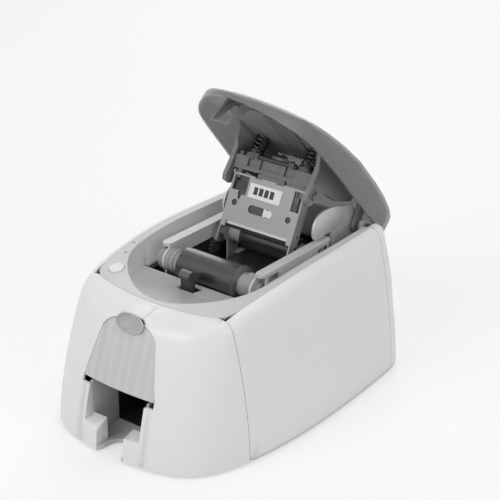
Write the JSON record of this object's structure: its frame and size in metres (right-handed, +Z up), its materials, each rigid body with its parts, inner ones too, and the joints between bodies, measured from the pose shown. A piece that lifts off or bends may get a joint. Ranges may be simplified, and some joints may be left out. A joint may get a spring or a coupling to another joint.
{
  "type": "id card printer",
  "caption": "Desktop card printer with a lift-up lid, a sprung print head, a ribbon cassette, a card feeder door and an output bay.",
  "frame": {"origin": "on the desk, under the middle of the printer with its lid open", "axes": "+X to the printer's right as its user faces it from the front, +Y from the front to the rear, +Z up"},
  "size_m": [0.205, 0.2933, 0.275],
  "materials": {
    "cover_white": "satin",
    "deck_grey": "satin",
    "lid_smoke": "satin",
    "frame_grey": "satin",
    "dark_plastic": "satin",
    "pale_plastic": "satin",
    "sheet_steel": "satin",
    "plain_steel": "satin",
    "spring_steel": "satin",
    "aluminium": "satin",
    "film": "satin",
    "rubber": "matte",
    "label": "matte",
    "board": "satin",
    "gear_plastic": "satin",
    "brass": "satin",
    "light_lens": "satin"
  },
  "bodies": {
    "printer": {"base_pan": "cover_white", "rubber_feet": "rubber", "front_cover": "cover_white", "left_side_cover": "cover_white", "right_side_cover": "cover_white", "rear_cover": "cover_white", "top_deck": "deck_grey", "indicator_lights": "light_lens", "door_pivots": "plain_steel", "bay_sleeve": "pale_plastic", "output_tray": "dark_plastic", "card_feeder": "pale_plastic", "latch_spring": "spring_steel", "hinge_brackets": "sheet_steel", "hinge_pins": "plain_steel", "cassette_left_rail": "pale_plastic", "cassette_right_rail": "pale_plastic", "cassette_cross_bars": "pale_plastic", "ribbon_web": "film", "mechanism_frame": "dark_plastic", "drive_belts": "rubber", "drive_motor": "plain_steel", "ribbon_motor": "plain_steel", "main_board": "board", "usb_socket": "plain_steel", "power_socket": "dark_plastic", "cover_screws": "plain_steel"},
    "lid": {"lid_shell": "lid_smoke", "lid_inner_frame": "frame_grey", "lid_catch": "frame_grey", "head_flat_cable": "frame_grey", "head_springs": "spring_steel"},
    "head": {"head_mount_bar": "frame_grey", "head_carrier": "sheet_steel", "print_head": "aluminium", "heat_sink": "aluminium", "head_cross_rod": "plain_steel", "head_label": "label"},
    "door": {"feeder_door": "deck_grey"},
    "button": {"control_button": "cover_white"},
    "latch": {"latch_hook": "dark_plastic"},
    "supply_spool": {"supply_core": "pale_plastic", "supply_film": "film", "supply_discs": "pale_plastic"},
    "takeup_spool": {"takeup_core": "pale_plastic", "takeup_film": "film"},
    "platen": {"platen_roller": "rubber", "platen_gear": "gear_plastic"},
    "feed": {"feed_roller": "rubber"},
    "pick": {"pick_roller": "rubber"},
    "motor_shaft_gear": {"motor_pinion": "brass"},
    "ribbon_drive_gear": {"ribbon_pinion": "gear_plastic"}
  },
  "joints": [
    {"name": "lid_hinge", "type": "hinge", "parent": "printer", "child": "lid", "pos_m": [0, 0.11485, 0.125], "axis": [-1, 0, 0], "range_deg": [-47.6, 0], "deforming": ["ribbon_web"]},
    {"name": "head_slide", "type": "slide", "parent": "lid", "child": "head", "axis": [0, 0.7385, 0.6743], "range_m": [0, 0.003], "stiffness_N_per_m": 900, "springref_m": -0.004, "deforming": ["head_springs"]},
    {"name": "feeder_door_hinge", "type": "hinge", "parent": "printer", "child": "door", "pos_m": [0, -0.12717, 0.061], "axis": [1, 0, 0], "range_deg": [0, 80]},
    {"name": "control_button_press", "type": "slide", "parent": "printer", "child": "button", "axis": [0, 0.1775, -0.9841], "range_m": [0, 0.0012], "stiffness_N_per_m": 600, "springref_m": -0.0005},
    {"name": "latch_turn", "type": "hinge", "parent": "printer", "child": "latch", "pos_m": [-0.003, -0.04315, 0.1026], "axis": [1, 0, 0], "range_deg": [0, 8]},
    {"name": "platen_spin", "type": "hinge", "parent": "printer", "child": "platen", "pos_m": [0, 0.0719, 0.0661], "axis": [1, 0, 0], "continuous": true},
    {"name": "feed_spin", "type": "hinge", "parent": "printer", "child": "feed", "pos_m": [0, 0.00485, 0.0661], "axis": [1, 0, 0], "continuous": true},
    {"name": "pick_spin", "type": "hinge", "parent": "printer", "child": "pick", "pos_m": [0, -0.06315, 0.0604], "axis": [1, 0, 0], "continuous": true},
    {"name": "motor_spin", "type": "hinge", "parent": "printer", "child": "motor_shaft_gear", "pos_m": [0, 0.0719, 0.0341], "axis": [1, 0, 0], "continuous": true},
    {"name": "takeup_spin", "type": "hinge", "parent": "printer", "child": "takeup_spool", "pos_m": [0, 0.06585, 0.11], "axis": [1, 0, 0], "continuous": true},
    {"name": "supply_spin", "type": "hinge", "parent": "printer", "child": "supply_spool", "pos_m": [0, -0.01565, 0.1125], "axis": [1, 0, 0], "continuous": true},
    {"name": "ribbon_drive_spin", "type": "hinge", "parent": "printer", "child": "ribbon_drive_gear", "pos_m": [0, 0.05477, 0.09582], "axis": [1, 0, 0], "continuous": true}
  ],
  "couplings": [
    {"joint": "feed_spin", "follows": "platen_spin", "ratio": 1},
    {"joint": "pick_spin", "follows": "platen_spin", "ratio": 1},
    {"joint": "motor_spin", "follows": "platen_spin", "ratio": -3},
    {"joint": "supply_spin", "follows": "takeup_spin", "ratio": 0.82759},
    {"joint": "ribbon_drive_spin", "follows": "takeup_spin", "ratio": -2}
  ]
}
